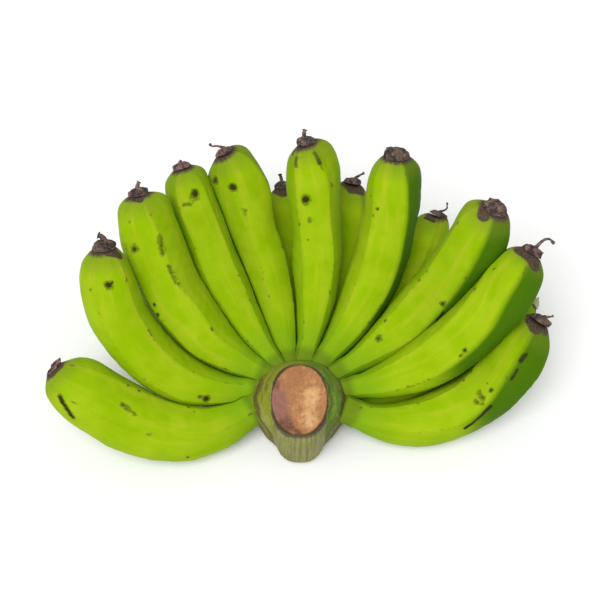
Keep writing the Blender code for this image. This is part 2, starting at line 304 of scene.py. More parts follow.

# Bearing and height on the collar, heading and pitch there and at the tip, length, thickness of
# the body and of the stem, half the width of the dry end, how late the neck fills out, and the
# roll of the ridges at the middle and at the tip. The shade values are painted shade: how much
# deeper the green of each of the five sides is, standing in for the shade on sides turned from the
# light, and where along the finger that begins. Swells (x, y, across, down, reach) have their place
# and step in pixels of the picture and their reach in millimetres. Marks (x, y, size, strength),
# scuffs and dry patches (x, y, x, y, size, strength) have their place in the picture too.
upperFingers = {
    1: dict(bearing=-93, height=22, heading=-121, pitch=-14, tipHeading=-54, tipPitch=32,
            length=149, thick=42, stem=17, dryHalf=6.8, neck=0.8, flat=0.3, roll=(-18, 5),
            paintedShades=(0.15, 0, 0, 0, 0),
            swells=[(50, 385, -3, 0, 20), (113, 381, 1, -8, 22), (90, 366, 0, -4, 14),
                    (150, 393, 1, -6, 18)],
            marks=[(206, 403, 1.6, 0.7), (187, 457, 1.2, 0.8), (194, 412, 0.8, 0.6)],
            scuffs=[(60, 397, 72, 417, 1.9, 0.95), (123, 404, 130, 409, 1.7, 0.6),
                    (131, 410, 136, 414, 1.2, 0.55)],
            dry=[(60, 360, 64, 358, 2.6, 0.9), (51, 373, 57, 365, 4.0, 1.0)]),
    2: dict(bearing=-71, height=27, heading=-97, pitch=-4, tipHeading=-8, tipPitch=54,
            length=163, thick=40, stem=11.5, dryHalf=7.6, neck=0.9, flat=0.36, roll=(5, 0),
            paintedShades=(0.4, 0.08, 0.05, 0, 0),
            swells=[(88, 321, -3, 2, 25), (103, 240, 3, -1, 10)],
            marks=[(206, 399, 2.3, 0.95), (199, 397, 1.5, 0.8), (108, 285, 2.3, 1.0),
                   (90, 290, 1.2, 0.65), (112, 283, 1.0, 0.8)],
            dry=[(106, 244, 119, 255, 3.6, 1.1)]),
    3: dict(bearing=-54, height=32, heading=-68, pitch=10, tipHeading=-15, tipPitch=48,
            length=153, thick=44, stem=12, dryHalf=6.8, neck=0.95, roll=(10, 18),
            paintedShades=(0.4, 0.08, 0.08, 0, 0),
            swells=[(122, 206, -3, -4, 12), (163, 201, 2, -8, 12)],
            marks=[(135, 249, 2.8, 0.72), (155, 305, 1.4, 0.8), (158, 314, 1.5, 0.9),
                   (130, 222, 1.2, 0.5)],
            scuffs=[(160, 237, 163, 253, 2.2, 0.62), (168, 266, 176, 283, 1.6, 0.55)],
            dry=[(134, 198, 140, 200, 3.0, 0.95)]),
    4: dict(bearing=-36, height=32, heading=-38, pitch=12, tipHeading=-22, tipPitch=46,
            length=149, thick=37, stem=11, dryHalf=6.3, neck=1.0, roll=(33, 30),
            paintedShades=(0.3, 0.15, 0.08, 0.3, 0.3),
            swells=[(167, 188, -2, -2, 16), (200, 175, 2, -6, 12)],
            marks=[(194, 193, 2.5, 1.0), (194, 197, 3.2, 0.58)],
            scuffs=[(184, 204, 191, 204, 1.4, 0.6)]),
    5: dict(bearing=-18, height=28, heading=-13, pitch=5, tipHeading=-31, tipPitch=51,
            length=152, thick=40, stem=12, dryHalf=6.4, neck=1.0, roll=(33, 33),
            paintedShades=(0.55, 0, 0.2, 0.5, 0.5),
            swells=[(240, 160, 2, -13, 16), (262, 188, 7, -5, 18)],
            marks=[(216, 181, 2.2, 1.0), (233, 188, 2.5, 1.0), (245, 212, 2.4, 0.45)],
            dry=[(211, 158, 222, 155, 2.0, 0.85)]),
    6: dict(bearing=3, height=30, heading=14, pitch=14, tipHeading=-18, tipPitch=54,
            length=149, thick=38, stem=12, dryHalf=6.4, neck=1.1, roll=(-33, -27),
            paintedShades=(0.4, 0.2, 0, 0.15, 0.2),
            swells=[(320, 149, 3, -8, 13), (335, 172, 5, -4, 16)],
            marks=[(305, 200, 2.9, 1.0), (311, 220, 2.6, 0.5), (308, 240, 1.0, 0.45)],
            scuffs=[(296, 158, 296, 166, 1.4, 0.75), (315, 154, 320, 164, 1.5, 0.85),
                    (321, 166, 332, 186, 0.9, 0.6)],
            dry=[(294, 148, 293, 154, 1.8, 0.9)]),
    7: dict(bearing=25, height=29, heading=41, pitch=12, tipHeading=3, tipPitch=59,
            length=155, thick=41, stem=13, dryHalf=8.8, neck=1.0, roll=(26, 32),
            paintedShades=(1, 0, 0.1, 0.3, 0.8),
            swells=[(376, 176, -3, -3, 14), (413, 168, 2, -3, 12)],
            marks=[(377, 209, 1.3, 0.75), (371, 196, 1.2, 0.5)],
            dry=[(385, 156, 405, 156, 3.0, 1.0)]),
    8: dict(bearing=50, height=30, heading=60, pitch=6, tipHeading=50, tipPitch=62,
            length=160, thick=43, stem=11.5, dryHalf=8.0, neck=1.1, roll=(-23, -12),
            paintedShades=(1, 1, 0.1, 0.2, 0.3), paintedShadeFrom=(0.3, 0.5),
            swells=[(470, 210, -4, -7, 14), (507, 217, 2, -2, 8)],
            marks=[(443, 304, 1.9, 0.8), (379, 339, 2.2, 0.8), (467, 205, 0.9, 0.6)],
            scuffs=[(437, 320, 444, 312, 1.2, 0.85)],
            dry=[(487, 208, 485, 215, 4.2, 1.1)]),
    9: dict(bearing=74, height=29, heading=86, pitch=13, tipHeading=41, tipPitch=38,
            length=157, thick=42, stem=12, dryHalf=7.4, neck=0.9, roll=(-8, 20),
            paintedShades=(1, 0, 0.2, 0.3, 1), paintedShadeFrom=(0.3, 0.5),
            swells=[(512, 250, 0, -3, 10)],
            marks=[(465, 350, 1.8, 0.75), (461, 355, 1.2, 0.7), (494, 269, 1.2, 0.65)],
            dry=[(522, 250, 534, 264, 5.2, 1.1)]),
    10: dict(bearing=101, height=26.5, heading=103, pitch=-22, tipHeading=41, tipPitch=38,
             length=154, thick=41, stem=16, dryHalf=7.6, neck=1.0, roll=(-58, -25),
             paintedShades=(1, 1, 0.08, 0.2, 0.5), paintedShadeFrom=(0.42, 0.62),
             swells=[(541, 324, 2, -8, 14), (512, 332, -3, -9, 16)],
             marks=[(491, 391, 1.5, 0.85), (482, 404, 1.2, 0.7), (487, 384, 0.9, 0.6),
                    (360, 408, 1.4, 0.5)],
             scuffs=[(479, 393, 481, 397, 2.4, 0.62), (476, 401, 477, 403, 1.7, 0.6),
                     (525, 356, 521, 361, 1.7, 0.8), (517, 370, 512, 379, 0.9, 0.75),
                     (490, 407, 465, 428, 1.2, 1.3)],
             dry=[(532, 321, 536, 328, 4.2, 1.1), (546, 328, 548, 336, 2.6, 1.0)]),
}
lowerFingers = {
    1: dict(bearing=-62, height=12.5, heading=-58, pitch=-6, tipHeading=-40, tipPitch=28,
            length=132, thick=33, dryHalf=5.4, neck=1.3),
    2: dict(bearing=-28, height=14, heading=-26, pitch=-9, tipHeading=-24, tipPitch=36,
            length=133, thick=34, dryHalf=5.4, neck=1.3),
    3: dict(bearing=-9, height=14, heading=-5, pitch=-11, tipHeading=-4, tipPitch=43,
            length=139, thick=33, dryHalf=5.6, neck=1.4,
            dry=[(277, 190, 283, 192, 4.6, 1.0)]),
    4: dict(bearing=12, height=14, heading=16, pitch=-10, tipHeading=15, tipPitch=44,
            length=139, thick=34, dryHalf=6.2, neck=1.4,
            swells=[(345, 191, -8, -7, 14), (362, 187, 0, -6, 9)],
            dry=[(351, 189, 361, 191, 3.4, 1.0)]),
    5: dict(bearing=34, height=14, heading=43, pitch=-11, tipHeading=32, tipPitch=41,
            length=141, thick=33, dryHalf=6.2, neck=1.3, paintedShades=(0.4, 0, 0, 0, 0.3),
            swells=[(423, 222, -3, -6, 10), (445, 227, 3, -7, 10)],
            dry=[(426, 217, 434, 221, 1.8, 0.9)]),
    6: dict(bearing=59, height=11, heading=58, pitch=-4, tipHeading=44, tipPitch=36,
            length=138, thick=32, dryHalf=5.4, neck=1.3),
    7: dict(bearing=84, height=13, heading=71, pitch=-4, tipHeading=55, tipPitch=20,
            length=150, thick=31, dryHalf=5.0, neck=1.3),
}

skin = {
    "bodyFrom": 0.52,       # share of the length where the full thickness is reached
    "shoulderFrom": 0.68,
    "shoulderRound": 3.4,
    "shoulderDrop": 0.93,
    "straightUntil": 0.05,
    "bendEase": 1.5,
    "closeReach": 9,        # the last stretch closes in round the dry end
    "sunk": 7,              # how far the root runs on inside the collar
    "flare": 2.2,           # how much the root widens into the collar
    "flareReach": 6,
    "ridges": 5,
    "ridgeSoft": 0.05,      # rounding of a ridge, as a share of a face
    "ridgeWander": 2.5,     # degrees
    "ridgeLine": 0.12,      # reach of the ridge's own colour, as a share of half a face
    # the deeper green of each side, turning over at the ridges below, is painted shade
    "sideEdge": 7,          # degrees from a ridge where one side's green turns into the next's
    "rings": 150,
    "faceColumns": 24,
    "crowdRidges": 0.55,
    "fadeIn": 0.25,         # lumps and dents grow over this share of the length
    "fadeOut": 0.9,
    "lump": 0.35,
    "lumpSize": 38,
    "dent": 0.10,
    "dentSize": 9,
    "gap": 0.3,
    "middleSteps": 90,
    "lineSteps": 1200,
}


def fingerMiddle(finger, shares):
    # The middle line bends in the plane of its two ways. It turns by the bend times
    # 1 - (1 - share)^ease, and the points are the running sum of the steps along it.
    outWay = way(finger["heading"], finger["pitch"])
    tipWay = way(finger["tipHeading"], finger["tipPitch"])
    halfway, up = unit(outWay + tipWay), unit(tipWay - outWay)
    side = np.cross(up, halfway)
    bend = np.arccos(np.clip(outWay @ tipWay, -1, 1))
    fine = skin["lineSteps"]

    def turnAt(share):
        past = np.clip((share - skin["straightUntil"]) / (1 - skin["straightUntil"]), 0, 1)
        return bend * (0.5 - (1 - past) ** skin["bendEase"])

    turns = turnAt((np.arange(fine) + 0.5) / fine)
    steps = (np.cos(turns)[:, None] * halfway + np.sin(turns)[:, None] * up) * finger["length"] / fine
    line = np.concatenate([np.zeros((1, 3)), np.cumsum(steps, 0)])
    bearing = np.radians(finger["bearing"])
    root = np.array(stalk["place"]) + np.array([
        stalk["collarMiddle"][0] + stalk["collarHalf"][0] * np.sin(bearing),
        stalk["collarMiddle"][1] + stalk["collarHalf"][1] * np.cos(bearing), finger["height"]])
    known = np.arange(fine + 1) / fine
    inside = np.clip(shares, 0, 1)
    middle = np.stack([np.interp(inside, known, line[:, axis]) for axis in range(3)], -1)
    middle += np.minimum(shares, 0)[:, None] * finger["length"] * outWay + root
    turn = turnAt(inside)[:, None]
    inner = -np.sin(turn) * halfway + np.cos(turn) * up
    sides = np.broadcast_to(side, inner.shape)
    return middle, inner, sides


def fingerRadius(finger, shares):
    # thin stem, a sine rise to the full body, and a round shoulder that falls off by a power
    swell = np.sin(np.pi / 2 * np.clip(shares / skin["bodyFrom"], 0, 1)) ** finger["neck"]
    across = finger["stem"] + (finger["thick"] - finger["stem"]) * swell
    past = (shares - skin["shoulderFrom"]) / (1 - skin["shoulderFrom"])
    end = np.clip(past, 0, 1) * skin["shoulderDrop"]
    fromCollar = np.maximum(shares, 0) * finger["length"]
    flare = skin["flare"] * np.exp(-(fromCollar / skin["flareReach"]) ** 2)
    endHalf = finger["thick"] / 2 * np.sqrt(1 - skin["shoulderDrop"] ** skin["shoulderRound"])
    close = np.clip(1 - (1 - shares) * finger["length"] / skin["closeReach"], 0, 1) ** 2
    body = across / 2 * np.sqrt(1 - end ** skin["shoulderRound"])
    return body * (1 - (1 - finger["dryHalf"] / endHalf) * close) + flare


def sectionShare(turns, flat):
    # a five-sided section: the radius of a flat face at each turn, mixed with a circle
    step = 2 * np.pi / skin["ridges"]
    fromRidge = (turns + np.pi) % step
    fromRidge = np.minimum(fromRidge, step - fromRidge)
    soft = skin["ridgeSoft"] * step
    rounded = np.sqrt(fromRidge ** 2 + soft ** 2) - soft * np.exp(-fromRidge / soft)
    face = np.cos(step / 2) / np.cos(step / 2 - np.minimum(rounded, step / 2))
    return 1 - flat * (1 - face), fromRidge / (step / 2)


def sectionTurns():
    # columns round a finger, closer together toward each ridge
    columns = skin["faceColumns"]
    share = np.arange(columns) / columns
    share = share - skin["crowdRidges"] * np.sin(2 * np.pi * share) / (2 * np.pi)
    step = 2 * np.pi / skin["ridges"]
    return (np.arange(skin["ridges"])[:, None] * step + share[None] * step).ravel() - np.pi


def ridgeRoll(finger, shares, seed):
    # roll of the ridges: the middle's, going over to the tip's, with a slow wander
    wander = ripple(np.stack([shares * 3, 0 * shares, 0 * shares], -1), 1.0, seed)
    middle, tip = finger["roll"]
    turned = middle + (tip - middle) * smoothStep(shares, 0.5, 1)
    return np.radians(turned + skin["ridgeWander"] * wander)


def fingerRings(finger, seed):
    # rings of a finger: each point is the middle line plus the section's radius at its turn
    shares = np.linspace(-skin["sunk"] / finger["length"], 1, skin["rings"])
    middle, inner, side = fingerMiddle(finger, shares)
    turns = sectionTurns()[None] + np.zeros((len(shares), 1))
    placed = turns + ridgeRoll(finger, shares, seed)[:, None]
    share, fromRidge = sectionShare(turns, finger["flat"])
    reach = fingerRadius(finger, shares)[:, None] * share
    out = np.sin(placed)[..., None] * side[:, None] + np.cos(placed)[..., None] * inner[:, None]
    rings = middle[:, None] + reach[..., None] * out
    fade = smoothStep(shares, 0, skin["fadeIn"]) * (1 - smoothStep(shares, skin["fadeOut"], 1))
    lumps = skin["lump"] * ripple(rings, skin["lumpSize"], seed + 1) - skin["lump"]
    dents = skin["dent"] * ripple(rings, skin["dentSize"], seed + 2)
    rings = rings + (fade[:, None] * (lumps + dents))[..., None] * out
    return rings, shares, turns, fromRidge


def paintedSideShade(finger, turns, shares):
    # painted shade: one value for each side of the section, changing over a narrow strip along each ridge
    step = 360 / skin["ridges"]
    edges = np.arange(skin["ridges"]) * step
    known = np.sort(np.concatenate([edges + skin["sideEdge"], edges + step - skin["sideEdge"]]))
    value = np.interp(np.degrees(turns + np.pi), known, np.repeat(finger["paintedShades"], 2), period=360)
    return value * smoothStep(shares, *finger["paintedShadeFrom"])[:, None]


def pressAway(rings, other, otherSeed):
    # A point inside the other finger moves straight out from that one's middle line to its
    # surface, one gap away
    shares = np.linspace(0, 1, skin["middleSteps"])
    middle, inner, side = fingerMiddle(other, shares)
    flat = rings.reshape(-1, 3)
    near = np.argmin(((flat[:, None] - middle[None]) ** 2).sum(-1), 1)
    offset = flat - middle[near]
    along = unit(np.gradient(middle, axis=0))[near]
    offset = offset - (offset * along).sum(-1, keepdims=True) * along
    turn = np.arctan2((offset * side[near]).sum(-1), (offset * inner[near]).sum(-1))
    turn = turn - ridgeRoll(other, shares, otherSeed)[near]
    reach = fingerRadius(other, shares)[near] * sectionShare(turn, other["flat"])[0] + skin["gap"]
    distance = np.linalg.norm(offset, axis=-1)
    inEnds = (near > 0) & (near < len(shares) - 1)
    push = np.where(inEnds, np.maximum(reach - distance, 0), 0)
    moved = flat + offset / np.maximum(distance, 1e-6)[:, None] * push[:, None]
    return moved.reshape(rings.shape)


def swellPlan(finger, rings):
    # each swell's middle on the skin, its step in space and its reach
    right, up = cameraAxes()[:2]
    x, y, depth = toPixels(rings)
    plan = []
    for placeX, placeY, across, down, reach in finger["swells"]:
        nearest = np.unravel_index(np.argmin((x - placeX) ** 2 + (y - placeY) ** 2), x.shape)
        step = (across * right - down * up) * depth[nearest] / camera["focalPixels"]
        plan.append((rings[nearest], step, reach))
    return plan


def swelled(points, plan):
    # every point moves by the sum of the steps, each times a bell of the distance from its middle
    moved = points.copy()
    for middle, step, reach in plan:
        distance = np.linalg.norm(points - middle, axis=-1)
        moved += step * np.exp(-(distance / reach) ** 2)[..., None]
    return moved


def markField(rings, normals, strokes):
    # strength at a stroke's middle, falling to 0 at twice its size, by the distance from the line
    # between the points that show at the given places of the picture
    x, y = toPixels(rings)[:2]
    facing = (normals @ cameraAxes()[2]) < 0

    def pointAt(across, down):
        off = (x - across) ** 2 + (y - down) ** 2 + np.where(facing, 0, 1e6)
        return rings[np.unravel_index(np.argmin(off), off.shape)]

    field = np.zeros(rings.shape[:2])
    for x0, y0, x1, y1, size, strength in strokes:
        start, end = pointAt(x0, y0), pointAt(x1, y1)
        run = end - start
        share = np.clip(((rings - start) @ run) / max(run @ run, 1e-6), 0, 1)
        distance = np.linalg.norm(rings - start - share[..., None] * run, axis=-1)
        field = np.maximum(field, strength * (1 - distance / (2 * size)))
    return np.clip(field, 0, 1)


# which finger each one is pressed by: it gives way and the other keeps its form
pressedBy = {
    "upper2": ["upper1", "upper3"], "upper4": ["upper3"], "upper5": ["upper4", "upper6"],
    "upper7": ["upper8", "upper6"], "upper9": ["upper8", "upper10"],
    "lower1": ["upper3", "upper2"], "lower2": ["upper5", "upper4"],
    "lower3": ["upper5", "lower2", "upper6"], "lower4": ["upper6", "upper7", "lower3"],
    "lower5": ["upper8", "lower4", "upper7"], "lower6": ["lower5", "upper8", "upper9"],
    "lower7": ["upper9", "upper10", "lower6"],
}
fingers = {}
for row, common, table in (("upper", usual, upperFingers), ("lower", usualLower, lowerFingers)):
    fingers.update({row + str(number): dict(common, **own) for number, own in table.items()})
seeds = {key: 100 + 7 * index for index, key in enumerate(fingers)}
swellPlans = {}  # filled as the skins are made, for the dried ends that move along


def fingerSkin(key):
    # a finger's rings, swelled, pressed by its neighbours and kept inside the solids' box, with
    # the values that its peel reads
    finger = fingers[key]
    rings, shares, turns, fromRidge = fingerRings(finger, seeds[key])
    swellPlans[key] = swellPlan(finger, rings)
    rings = swelled(rings, swellPlans[key])
    for other in pressedBy.get(key, []):
        rings = pressAway(rings, fingers[other], seeds[other])
    rings = np.clip(rings, *boxCorners)
    normals = ringNormals(rings)
    along = np.broadcast_to(shares[:, None], turns.shape)
    around = np.stack([np.sin(turns) * finger["thick"] / 2, np.cos(turns) * finger["thick"] / 2,
                       along * finger["length"]], -1) / 10
    spots = [(x, y, x, y, size, strength) for x, y, size, strength in finger["marks"]]
    values = {
        "along": along,
        "ridge": np.exp(-(fromRidge / skin["ridgeLine"]) ** 2),
        "mark": markField(rings, normals, spots + finger["scuffs"]),
        "dry": markField(rings, normals, finger["dry"]),
        "paintedShade": paintedSideShade(finger, turns, shares),
    }
    return rings, values, {"peelPlace": around}


peel = {
    # sunny and gold are yellower greens laid at random; the little blue in them is a faint painted sheen
    "sunny": (0.33, 0.475, 0.010),
    "gold": (0.41, 0.46, 0.020),
    "middle": (0.255, 0.425, 0.002),
    # the green of the painted shade on sides turned from the light and over the lower row
    "paintedShadeGreen": (0.05, 0.14, 0.003),
    "neck": (0.20, 0.37, 0.008),
    "root": (0.10, 0.15, 0.014),
    "ridgeLine": (0.20, 0.33, 0.008),
    "markRim": (0.115, 0.155, 0.008),
    "markCore": (0.035, 0.035, 0.008),
    "scar": (0.10, 0.075, 0.025),
    "tipBrown": (0.125, 0.085, 0.055),
    "tipDark": (0.050, 0.036, 0.028),
    "dull": (0.15, 0.21, 0.02),
    "sheen": (0.75, 1.0, 0.12),
}


def peelMaterial(name, depth):
    # waxy green peel, with depth for how much painted shade green lies over the whole row, standing in for
    # the shade on the row that lies under the other
    material, tree, shader = startMaterial(name)
    place = readVector(tree, "peelPlace")
    along = readValue(tree, "along")
    ridge = readValue(tree, "ridge")
    mark = readValue(tree, "mark")
    paintedShade = readValue(tree, "paintedShade")
    cloud = noiseAt(tree, place, 0.45, 3.0, 0.55)
    streak = noiseAt(tree, stretch(tree, place, (5.0, 5.0, 0.35)), 1.2, 4.0, 0.6)
    fine = noiseAt(tree, stretch(tree, place, (9.0, 9.0, 3.0)), 2.0, 3.0, 0.6)
    ragged = noiseAt(tree, place, 3.2, 4.0, 0.65)
    # random cloud of sunny green over the middle green, then gold streaks; their blue is a faint painted
    # sheen
    colour = mixColour(tree, remap(tree, cloud, 0.32, 0.72), peel["middle"], peel["sunny"])
    broad = noiseAt(tree, stretch(tree, place, (1.5, 1.5, 0.22)), 1.0, 3.0, 0.5)
    colour = mixColour(tree, remap(tree, broad, 0.48, 0.68, 0.0, 0.55), colour, peel["gold"])
    colour = mixColour(tree, remap(tree, streak, 0.35, 0.75, 0.0, 0.30), colour, peel["middle"])
    colour = mixColour(tree, remap(tree, along, 0.26, 0.04, 0.0, 0.9), colour, peel["neck"])
    # painted shade: the sides turned away from the light take on the deeper green, each by its own share
    colour = mixColour(tree, times(tree, paintedShade, 0.95), colour, peel["paintedShadeGreen"])
    # painted shade: the lower row, under the upper one, gets the deeper green all over
    if depth:
        colour = mixColour(tree, depth, colour, peel["paintedShadeGreen"])
    # ridges: a faint darker line, broken by brown scars
    line = times(tree, ridge, remap(tree, ragged, 0.42, 0.62, 0.0, 0.35))
    colour = mixColour(tree, line, colour, peel["ridgeLine"])
    patchy = noiseAt(tree, place, 0.8, 2.0, 0.5)
    worn = times(tree, remap(tree, patchy, 0.60, 0.68), remap(tree, ragged, 0.46, 0.6))
    scars = times(tree, remap(tree, ridge, 0.35, 0.8), worn)
    colour = mixColour(tree, times(tree, scars, 0.8), colour, peel["scar"])
    # small dark freckles
    freckle = addNode(tree, "ShaderNodeTexVoronoi", {"Vector": place, "Scale": 2.6, "Randomness": 1.0})
    dot = remap(tree, freckle.outputs["Distance"], 0.11, 0.045)
    some = remap(tree, noiseAt(tree, place, 1.3, 1.0), 0.57, 0.66)
    freckles = times(tree, dot, some)
    colour = mixColour(tree, times(tree, freckles, 0.55), colour, peel["markRim"])
    # marks with a frayed edge, an olive rim and a dark core
    frayed = noiseAt(tree, place, 11.0, 4.0, 0.6)
    fray = swing(tree, frayed, 0.5, 0.5)
    uneven = swing(tree, ragged, 0.5, 0.8)
    roughened = plus(tree, mark, plus(tree, fray, uneven))
    markHere = times(tree, remap(tree, mark, 0.02, 0.2), remap(tree, roughened, 0.20, 0.44))
    # on the sides with painted shade the rim of a mark runs toward the dark core
    rim = mixColour(tree, paintedShade, peel["markRim"], peel["markCore"])
    colour = mixColour(tree, times(tree, markHere, 0.8), colour, rim)
    core = times(tree, markHere, remap(tree, roughened, 0.46, 0.68))
    colour = mixColour(tree, core, colour, peel["markCore"])
    # the dry end creeps onto the tip with a ragged edge, and the peel dulls before it and at
    # the root
    edge = plus(tree, along, swing(tree, ragged, 0.5, 0.024))
    colour = mixColour(tree, remap(tree, edge, 0.045, 0.0, 0.0, 0.6), colour, peel["root"])
    patch = plus(tree, readValue(tree, "dry"), times(tree, fray, 0.8))
    dry = combine(tree, "MAXIMUM", remap(tree, edge, 0.981, 0.998), remap(tree, patch, 0.42, 0.6))
    colour = mixColour(tree, remap(tree, edge, 0.90, 0.985, 0.0, 0.5), colour, peel["dull"])
    dark = mixColour(tree, remap(tree, frayed, 0.4, 0.62), peel["tipDark"], peel["tipBrown"])
    colour = mixColour(tree, dry, colour, dark)
    tree.links.new(colour, shader.inputs["Base Color"])
    dullness = remap(tree, plus(tree, fine, times(tree, markHere, 0.6)), 0.3, 1.2, 0.40, 0.75)
    tree.links.new(dullness, shader.inputs["Roughness"])
    shader.inputs["IOR"].default_value = 1.2
    shader.inputs["Specular IOR Level"].default_value = 0.06
    shader.inputs["Specular Tint"].default_value = (*peel["sheen"], 1)
    pores = addBump(tree, fine, 0.25, 0.0003)
    ribs = addBump(tree, streak, 0.35, 0.0006, pores)
    sunkMarks = addBump(tree, times(tree, markHere, -1.0), 0.15, 0.0003, ribs)
    tree.links.new(sunkMarks, shader.inputs["Normal"])
    return material


upperPeel = peelMaterial("upperPeel", 0.0)
lowerPeelPaintedShade = peelMaterial("lowerPeelPaintedShade", 0.03)
for key in fingers:
    row, number = key[:5], key[5:]
    mesh = tubeMesh(row + "Finger" + number, *fingerSkin(key))
    slot, material = ("green_peel", upperPeel) if row == "upper" else ("shaded_green_peel", lowerPeelPaintedShade)
    addPiece(row + "Finger" + number, mesh, material, "finger_" + row + "_" + number)
print("finger skins made:", len(fingers))


# How tall the dome is, where the strand runs after it leaves the dome, as steps across and down
# from its top in pixels of the picture, half the strand's thickness there, how far the dome's top
# leans in the picture, and how rosy and how pale the end is
usualEnd = dict(tall=4.5, strand=[(1, -3)], thick=1.0, lean=(0, 0), rosy=0.4, pale=0.2)
flowerEnds = {
    "upper1": dict(tall=3.6, strand=[(4, -5), (8, -7)], thick=1.2, lean=(2, 0), rosy=0.9),
    "upper2": dict(tall=6.6, strand=[(-4, -4), (-7, -5)], thick=2.4, lean=(3, 1), rosy=0.0, pale=0.1),
    "upper3": dict(tall=6, strand=[(1, -4), (2, -6)], thick=1.8, rosy=0.6, pale=0.3),
    "upper4": dict(tall=5, strand=[(1, -2)], thick=1.2, rosy=1.0),
    "upper5": dict(tall=4.6, strand=[(-8, -2), (-12, -1), (-15, -4)], lean=(3, 0), rosy=0.8, pale=0.1),
    "upper6": dict(tall=5.8, strand=[(0, -4), (1, -7)], thick=1.9, rosy=0.2, pale=0.4),
    "upper7": dict(tall=6.5, strand=[(0, -1)], thick=1.2, rosy=0.1, pale=0.1),
    "upper8": dict(tall=6, strand=[(0, -1)], thick=1.3, lean=(-1, -1), pale=0.3),
    "upper9": dict(tall=5, strand=[(5, -5), (9, -8), (14, -8), (18, -3)], thick=1.2, lean=(1, 0), rosy=0.6),
    "upper10": dict(tall=5, strand=[(5, 0), (9, -1)], lean=(1, 0), rosy=0.2),
    "lower3": dict(tall=5.4, strand=[(-1, -4), (-2, -7)], thick=1.6, rosy=0.0, pale=0.5),
    "lower4": dict(tall=6, strand=[(5, -3), (9, -5)], thick=1.1, rosy=0.2, pale=0.5),
    "lower5": dict(tall=4.6, strand=[(4, -1), (7, -3), (7, -9)], thick=0.8, rosy=0.3),
    "lower7": dict(tall=5, strand=[(1, -2)], rosy=0.1, pale=1.0),
}
dryEnd = {
    "domeRun": (0, 0.15, 0.3, 0.45, 0.6, 0.75, 0.88, 1.0),
    "domeRise": (0, 0.28, 0.52, 0.71, 0.85, 0.94, 0.98, 1.0),     # shares of its height
    "domeWidth": (1.0, 0.97, 0.88, 0.75, 0.58, 0.41, 0.28, 0.2),  # shares of the finger's end
    "lobes": (3, 5, 8),
    "lobeDepth": 0.05,
    "crumple": 0.32,
    "crumpleSize": 3.4,
    "bulge": 0.7,
    "bulgeSize": 9,
    "grain": 0.16,
    "grainSize": 1.2,
    "domeRings": 44,
    "strandRings": 30,
    "columns": 64,
    "strandRoot": 1.0,   # reach of its wide foot
    "strandTaper": 0.5,
    "strandKnob": 0.5,
    "knobAt": 0.93,      # share of the strand's length
    "knobReach": 0.08,
}


def fromPixels(across, down, depth):
    # the point that shows at a place of the picture, at a depth along the camera's axis
    right, up, ahead = cameraAxes()
    x = (np.asarray(across) - camera["lookAtPixel"][0]) / camera["focalPixels"]
    y = (camera["lookAtPixel"][1] - np.asarray(down)) / camera["focalPixels"]
    return cameraEye() + depth * (ahead + x[..., None] * right + y[..., None] * up)


def strandLine(top, steps, rings):
    # a rounded line through the picture's places, in the plane through the dome's top that
    # faces the camera
    x, y, depth = toPixels(top)
    places = np.array([(0, 0)] + steps, float) + (x, y)
    length = np.concatenate([[0], np.cumsum(np.linalg.norm(np.diff(places, axis=0), axis=1))])
    run = np.linspace(0, 1, rings) * length[-1]
    line = np.stack([np.interp(run, length, places[:, axis]) for axis in range(2)], -1)
    for _ in range(rings // 4):
        line[1:-1] = (line[:-2] + 2 * line[1:-1] + line[2:]) / 4
    points = fromPixels(line[:, 0], line[:, 1], depth)
    return points, length[-1] / (camera["focalPixels"] / depth)


